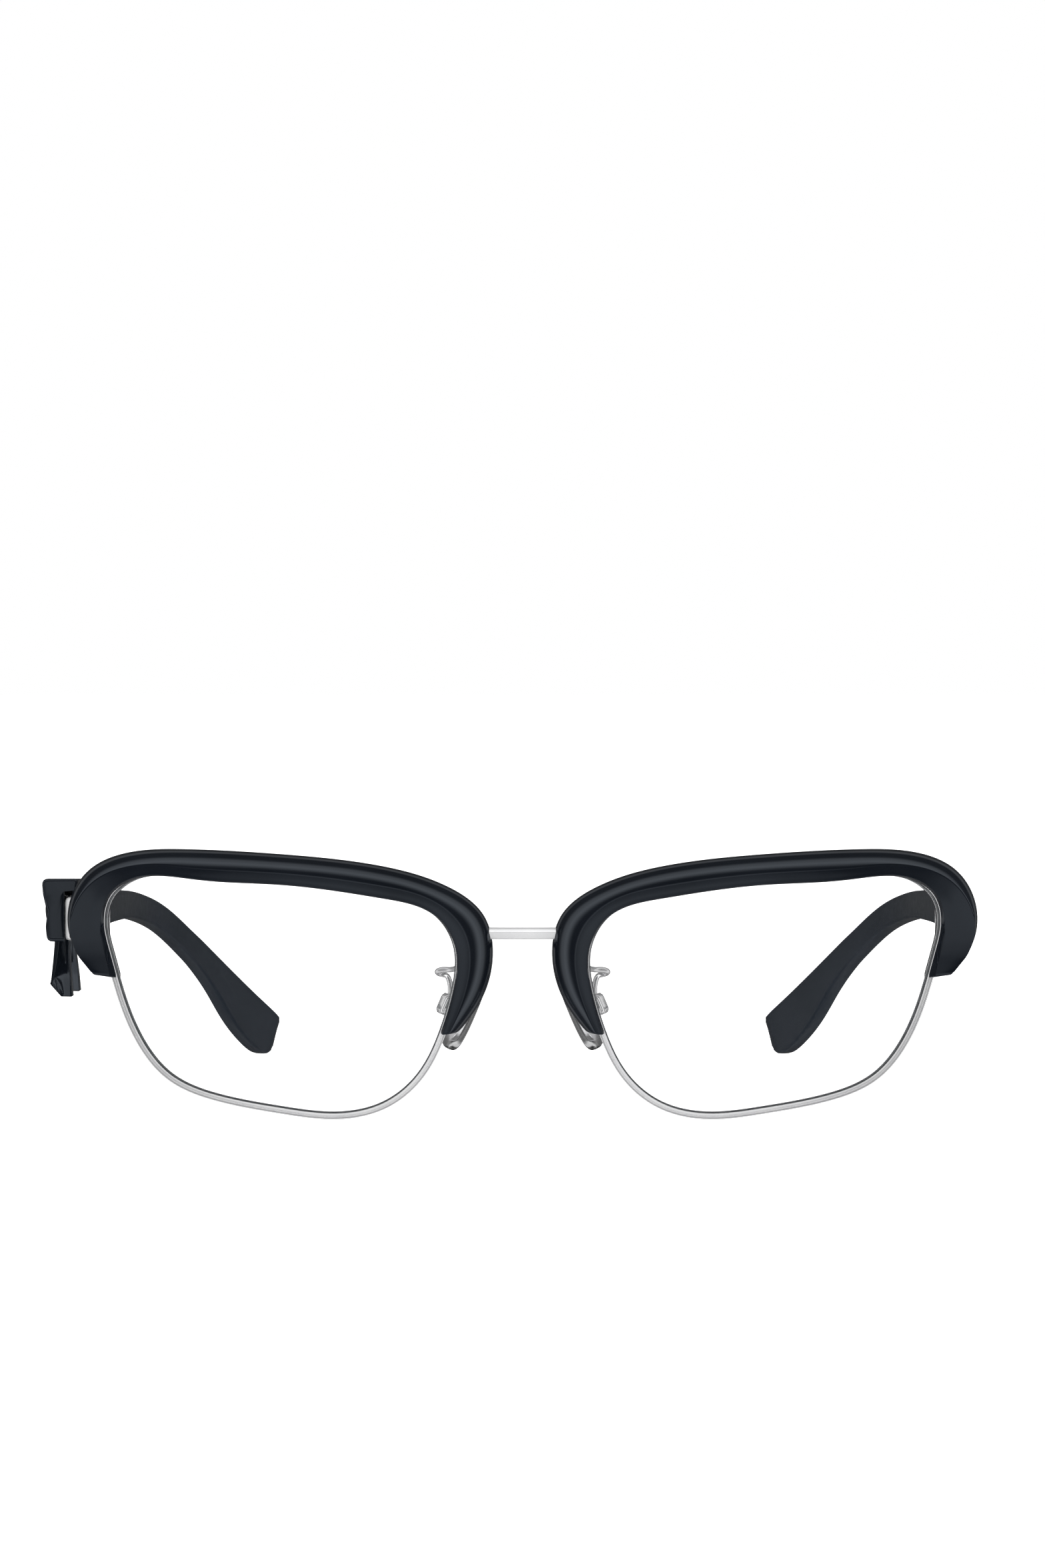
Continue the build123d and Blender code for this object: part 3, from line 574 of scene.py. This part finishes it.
def make_pad_cores():
    """The metal core inside each pad, and the clear post that its box holds."""
    core = pad_rings(CORE_LENGTH, CORE_WIDTH, CORE_BACK, CORE_FRONT, CORE_CORNER, CORE_BEND)
    depths = np.linspace(PAD_AXIS[2] - POST_PAST_SCREW, POST_FRONT, 5)
    post = bar_rings(POST_HALF_WIDTH, POST_HALF_HEIGHT, POST_CORNER, depths)
    core_points, core_faces = skin([on_pad(ring) for ring in core])
    post_points, post_faces = skin([on_pad(ring) for ring in post])
    for side, sign in SIDES.items():
        body = f"nose_pad_{side}"
        add_piece(f"pad_core_{side}", core_points * (sign, 1, 1), core_faces, METAL, body, "polished_metal")
        add_piece(f"pad_post_{side}", post_points * (sign, 1, 1), post_faces, PAD, body, "clear_pad")


def tube_rings(path, radius):
    """Round rings along a path."""
    along = directions(path)
    side = np.cross(along[0], (0.3, 0.2, 1.0))  # any direction will do, except the path's own
    rings = []
    for place, run in zip(path, along):
        side = side - run * (side @ run)
        side /= np.linalg.norm(side)
        other = np.cross(run, side)
        turns = np.linspace(0, 2 * math.pi, TUBE_SIDES, endpoint=False)
        rings.append(place + radius * (np.outer(np.cos(turns), side) + np.outer(np.sin(turns), other)))
    return rings


def make_pad_arms():
    """Bent wire arms from the eyewires to the pad boxes."""
    path = smooth_curve(PAD_ARM_PATH, 90)
    add_pair("pad_wire", tube_rings(path, PAD_ARM_RADIUS), METAL, "polished_metal", "pad_arm")


# ---- Temples ----
TEMPLE_PATH = [
    (70.4, 10.2, 31.0), (69.9, 35.0, 31.6), (68.8, 65.0, 30.9), (66.9, 90.0, 29.2), (63.9, 102.0, 26.6),
    (59.9, 113.0, 21.7), (55.6, 123.0, 16.2), (50.9, 133.0, 10.4), (45.5, 143.3, 4.15),
]
# Share of the path, height, thickness.
TEMPLE_SECTIONS = [
    (0.0, 5.2, 3.6), (0.25, 5.0, 3.4), (0.5, 4.6, 3.2), (0.66, 4.5, 2.9), (0.77, 4.9, 2.8), (0.83, 6.1, 2.8),
    (0.88, 7.8, 2.8), (0.94, 8.8, 2.8), (0.985, 8.0, 2.6), (1.0, 6.0, 1.6),
]
TEMPLE_TOP = 2.4  # about how far the top edge may stand above the path
TEMPLE_HINGE_ROUND, TEMPLE_TIP_ROUND = 0.3, 0.7


def make_temples():
    """Temples swept over the ear, with crowned faces and lower edges a little crisper than the upper."""
    path = smooth_curve(TEMPLE_PATH, 160)
    sizes = smooth_columns(np.array(TEMPLE_SECTIONS), np.linspace(0, 1, len(path)))
    rings = []
    for place, run, (height, thickness) in zip(path, directions(path), sizes):
        up = np.array([0.0, 0.0, 1.0]) - run * run[2]
        up /= np.linalg.norm(up)
        out = np.cross(run, up)
        shift = min(TEMPLE_TOP - height / 2, 0)
        high, wide = height / 2, thickness / 2
        section = rounded([
            (-wide, -high, 0.55), (0, -high - 0.05, 3), (wide, -high, 0.7), (wide + 0.05, 0, 6),
            (wide, high, 0.9), (0, high + 0.1, 3), (-wide, high, 0.9), (-wide - 0.08, 0, 6),
        ])
        rings.append(place + np.outer(section[:, 0], out) + np.outer(section[:, 1] + shift, up))
    rings = round_ends(rings, TEMPLE_HINGE_ROUND, TEMPLE_TIP_ROUND)
    add_pair("temple_swept", rings, SATIN, "black_acetate", "temple", body="temple")


def smooth_columns(table, shares):
    """The table's later columns at those shares of its first, on smooth curves."""
    stretch = 100  # keeps the curve running along its first column
    wide = smooth_curve(table * (stretch, 1, 1), 2000)
    return np.stack([np.interp(shares * stretch, wide[:, 0], wide[:, i]) for i in (1, 2)], axis=1)


# ---- Bow, on the right temple ----
BOW_Z = 32.3
KNOT_Y = (18.45, 23.55)
KNOT_X = (73.45, 77.1)
KNOT_HALF_HEIGHT = 2.8
LOOP_LENGTH = 8.0
# Of a loop, at the knot and how much more at its far end.
LOOP_HALF_HEIGHT = (2.3, 2.35)
LOOP_OUTER_X = (75.8, 0.95)
LOOP_WAIST = (0.5, 0.25)  # how far its hollow side is drawn in
FRONT_LOOP_RISE, REAR_LOOP_RISE = 0.8, -0.1  # how much higher the top of the far end sits
HOOK_STARTS, HOOK_RUN = 2.9, 1.2  # half height at which a loop begins to hook over the clip
HOOK_REACH, HOOK_THICKNESS = 2.1, 1.6
BOW_GAP = 0.05  # between the loops and the clip
LOOP_END_ROUND, KNOT_END_ROUND, TAIL_END_ROUND = 0.55, 0.6, 0.35
CLIP_X = (67.3, 73.1)
CLIP_Y = (10.6, 25.0)
CLIP_Z = (27.8, 34.8)
CLIP_SPACE_X = (68.0, 72.35)
CLIP_SPACE_Z = (28.2, 34.2)
CLIP_RELIEF = (68.6, 13.4)  # up to this X, the clip starts at this Y, to clear the hinge
CLIP_EDGE = 0.2
CLIP_CORNER, CLIP_SPACE_CORNER = 0.9, 0.3
BOW_BODY = "temple_right"


def add_bow_piece(name, rings, material, slot, *nodes, closed=False):
    """A piece of the bow, drawn on the left and mirrored to the right temple."""
    points, faces = skin(rings, closed)
    add_piece(name, points * (RIGHT, 1, 1), faces, material, BOW_BODY, slot, *nodes)


def make_bow_loop(name, knot_face_y, direction, rise, node):
    """A ribbon loop: narrow at the knot, tall and hollow-sided at its far end, hooked over the clip."""
    rings = []
    for share in np.linspace(0, 1, 30):
        open_by = share**0.8
        half, outer_x, waist = (
            start + gain * open_by for start, gain in (LOOP_HALF_HEIGHT, LOOP_OUTER_X, LOOP_WAIST)
        )
        hook = min(max((half - HOOK_STARTS) / HOOK_RUN, 0.0), 1.0)
        inner_x = CLIP_X[1] + BOW_GAP
        top_inner_x = inner_x - HOOK_REACH * hook
        bottom, top = BOW_Z - half, BOW_Z + half + rise * share
        hook_under = max(CLIP_Z[1] + BOW_GAP, top - HOOK_THICKNESS)
        section = rounded([
            (inner_x, bottom, 0.3), (outer_x - 0.7, bottom, 1.0), (outer_x - 0.5, BOW_Z - 0.5 * half, 1.6),
            (outer_x - waist, BOW_Z, 1.8), (outer_x - 0.1, BOW_Z + 0.6 * half, 1.8),
            (outer_x + 0.15, top, 1.0), (top_inner_x, top, 0.5),
            (top_inner_x, hook_under, 0.2), (inner_x, hook_under, 0.2),
        ])
        y = knot_face_y + direction * share * LOOP_LENGTH
        rings.append(np.column_stack([section[:, 0], np.full(len(section), y), section[:, 1]]))
    rings = round_off(rings, LOOP_END_ROUND, True)
    add_bow_piece(name, rings, GLOSS, "black_acetate", node)


def make_bow_knot():
    """The band round the bow's middle, gathered above and below."""
    rings = []
    for share in np.linspace(-1, 1, 25):
        swell = 1 - 0.22 * share**4
        half_y = (KNOT_Y[1] - KNOT_Y[0]) / 2 * (0.86 + 0.14 * swell)
        middle_y = sum(KNOT_Y) / 2
        outer_x = KNOT_X[1] - 0.6 * share**2
        fold = 0.28 * (1 - share**2)
        section = rounded([
            (KNOT_X[0], middle_y - half_y, 0.3), (KNOT_X[0], middle_y + half_y, 0.3),
            (outer_x - 0.3, middle_y + half_y, 0.9), (outer_x, middle_y + 0.9, 0.5),
            (outer_x - fold, middle_y + 0.35, 0.2), (outer_x, middle_y - 0.2, 0.5),
            (outer_x - 0.3, middle_y - half_y, 0.9),
        ])
        rings.append(np.column_stack([section, np.full(len(section), BOW_Z + KNOT_HALF_HEIGHT * share)]))
    rings = round_ends(rings, KNOT_END_ROUND, KNOT_END_ROUND)
    add_bow_piece("bow_knot_folded", rings, GLOSS, "black_acetate", "bow_knot")


# Of each tail, from the knot down: share, Z, middle Y, half width along Y, inner X, outer X.
FRONT_TAIL = [
    (0.0, 28.9, 19.0, 1.3, 73.0, 75.3), (0.35, 25.6, 17.5, 1.45, 72.8, 75.4),
    (0.7, 21.6, 15.4, 1.7, 72.4, 75.55), (1.0, 18.6, 13.9, 1.9, 72.1, 75.65),
]
REAR_TAIL = [
    (0.0, 28.9, 22.4, 1.3, 72.4, 74.4), (0.35, 25.6, 24.2, 1.45, 72.4, 74.3),
    (0.7, 21.6, 26.4, 1.7, 72.1, 74.1), (1.0, 18.6, 28.2, 1.9, 72.0, 74.0),
]
TAIL_SLANT = 1.15  # how much the outer half of a tail's tip climbs, for each mm across


def make_bow_tail(name, table, node):
    """A ribbon end: a narrow plate with a chamfered outer edge, a pleat, and a slanted tip."""
    rings = []
    for share in np.linspace(0, 1, 40):
        z, y, half, inner_x, outer_x = by_share_straight(table, share)
        width = outer_x - inner_x
        chamfer = 0.75 * (1 - share) ** 0.7 + 0.12
        pleat = 0.4 * max(0.0, 1 - share / 0.5) ** 0.5
        front, middle_x = y - half, (inner_x + outer_x) / 2
        section = rounded([
            (inner_x, front, 0.25), (inner_x + 0.24 * width, front, 0.05),
            (inner_x + 0.3 * width, front + pleat, 0.05), (middle_x, front + 0.3 * pleat, 0),
            (outer_x - chamfer, front, 0.12), (outer_x, front + chamfer, 0.15),
            (outer_x, y + half, 0.4), (middle_x, y + half, 0), (inner_x, y + half, 0.4),
        ])
        lift = TAIL_SLANT * share**3 * np.maximum(section[:, 0] - middle_x, 0)
        rings.append(np.column_stack([section, z + lift]))
    rings = round_off(rings, TAIL_END_ROUND, True)
    add_bow_piece(name, rings, GLOSS, "black_acetate", node)


def by_share_straight(table, share):
    """Values between the rows of a table, in straight steps."""
    rows = np.array(table)
    return [np.interp(share, rows[:, 0], column) for column in rows.T[1:]]


def make_bow_clip():
    """The clip: a rounded metal sleeve round the temple, cut away beside the hinge."""
    relief_x, relief_y = CLIP_RELIEF

    def outline(x_range, z_range, grow, corner, y):
        """A ring of the sleeve, held back to the relief on the side next to the hinge."""
        (left, right), (bottom, top) = x_range, z_range
        left, right, bottom, top = left - grow, right + grow, bottom - grow, top + grow
        section = rounded([
            (left, bottom, corner), (relief_x, bottom, 0), (relief_x + 0.05, bottom, 0),
            (right, bottom, corner), (right, top, corner), (relief_x + 0.05, top, 0), (relief_x, top, 0),
            (left, top, corner),
        ])
        depth = np.full(len(section), float(y))
        depth[(section[:, 0] < relief_x + 0.01) & (depth < relief_y)] = relief_y
        return np.column_stack([section[:, 0], depth, section[:, 1]])

    def outside(grow, y):
        """A ring of the sleeve's outer face."""
        return outline(CLIP_X, CLIP_Z, grow, CLIP_CORNER, y)

    def inside(grow, y):
        """A ring of the sleeve's inner face."""
        return outline(CLIP_SPACE_X, CLIP_SPACE_Z, grow, CLIP_SPACE_CORNER, y)

    (front, rear), edge = CLIP_Y, CLIP_EDGE
    rings = [
        outside(-edge, front), outside(-edge / 4, front + edge / 4), outside(0, front + edge),
        outside(0, rear - edge), outside(-edge, rear),
        inside(edge / 4, rear), inside(0, rear - edge / 2), inside(0, front + edge / 2),
        inside(edge / 4, front),
    ]
    add_bow_piece("bow_clip_sleeve", rings, METAL, "polished_metal", "bow_clip", closed=True)


make_brows()
make_rims()
make_lens_edges()
make_bridge()
make_pads()
make_pad_boxes()
make_pad_cores()
make_pad_arms()
make_temples()
make_bow_loop("bow_loop_front_shaped", KNOT_Y[0], -1, FRONT_LOOP_RISE, "bow_loop_front")
make_bow_loop("bow_loop_rear_shaped", KNOT_Y[1], 1, REAR_LOOP_RISE, "bow_loop_rear")
make_bow_knot()
make_bow_tail("bow_tail_front_shaped", FRONT_TAIL, "bow_tail_front")
make_bow_tail("bow_tail_rear_shaped", REAR_TAIL, "bow_tail_rear")
make_bow_clip()

# ---- CAD nodes that stay, with their finish ----
KEPT = {
    "lens": LENS, "endpiece": METAL, "rim_lock": METAL, "temple_hinge": METAL, "temple_rivets": STEEL,
    "hinge_screw": STEEL, "rim_lock_screw": STEEL, "brow_screws": STEEL, "pad_screw": STEEL,
    "bow_screws": STEEL,
}
for name, material in KEPT.items():
    for node in (name, f"{name}_left", f"{name}_right"):
        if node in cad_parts:
            for material_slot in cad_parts[node].material_slots:
                material_slot.material = material


# ---- Studio ----
CAMERA_PLACE = (0.0, -0.900, 0.077)
CAMERA_TARGET = (0.0, 0.0, 0.0531)
CAMERA_LENS = 131.0
FLOOR_SIZE = 12.0
# Brightness of the studio in reflections, by degrees from straight ahead of the glasses to behind them.
STUDIO = [
    (0, 0.75), (13, 0.68), (21, 0.35), (29, 0.04), (46, 0.06), (61, 1.6), (69, 1.2), (84, 0.12), (104, 0.1),
    (113, 0.6), (121, 0.6), (131, 0.12), (180, 0.1),
]


def make_floor():
    """A flat sheet of studio paper under the glasses."""
    work = bmesh.new()
    bmesh.ops.create_grid(work, x_segments=8, y_segments=8, size=FLOOR_SIZE / 2)
    mesh = bpy.data.meshes.new("floor")
    work.to_mesh(mesh)
    work.free()
    mesh.materials.append(make_floor_paper())
    floor = bpy.data.objects.new("floor", mesh)
    bpy.context.scene.collection.objects.link(floor)


def make_world():
    """White light all round, but for reflections, which see soft bright rings with dark gaps between."""
    world = bpy.data.worlds.new("studio")
    bpy.context.scene.world = world
    world.use_nodes = True
    nodes, links = world.node_tree.nodes, world.node_tree.links

    def calculate(operation, *values):
        """The output of a maths node with those inputs."""
        step = nodes.new("ShaderNodeMath")
        step.operation = operation
        for socket, value in zip(step.inputs, values):
            if isinstance(value, (int, float)):
                socket.default_value = value
            else:
                links.new(value, socket)
        return step.outputs[0]

    split = nodes.new("ShaderNodeSeparateXYZ")
    links.new(nodes.new("ShaderNodeTexCoord").outputs["Generated"], split.inputs[0])
    from_front = calculate("ARCCOSINE", calculate("MULTIPLY", split.outputs["Y"], -1))
    ramp = nodes.new("ShaderNodeValToRGB")
    ramp.color_ramp.interpolation = "EASE"
    stops = ramp.color_ramp.elements
    for _ in STUDIO[2:]:
        stops.new(0.5)
    for stop, (degrees, light) in zip(stops, STUDIO):
        stop.position = degrees / 180
        stop.color = (light, light, light, 1)
    links.new(calculate("DIVIDE", from_front, math.pi), ramp.inputs["Fac"])
    rays = nodes.new("ShaderNodeLightPath")
    unreflected = calculate("SUBTRACT", 1.0, rays.outputs["Is Glossy Ray"])
    background = nodes["Background"]
    links.new(calculate("MAXIMUM", ramp.outputs["Color"], unreflected), background.inputs["Color"])


def make_camera():
    """The camera, straight ahead and a little above."""
    camera_data = bpy.data.cameras.new("camera")
    camera_data.sensor_fit = "VERTICAL"
    camera_data.sensor_height = 36.0
    camera_data.lens = CAMERA_LENS
    camera = bpy.data.objects.new("camera", camera_data)
    camera.location = CAMERA_PLACE
    aim = Vector(CAMERA_TARGET) - Vector(CAMERA_PLACE)
    camera.rotation_euler = aim.to_track_quat("-Z", "Y").to_euler()
    bpy.context.scene.collection.objects.link(camera)
    bpy.context.scene.camera = camera


make_floor()
make_world()
make_camera()
bpy.context.scene.view_settings.view_transform = "Standard"
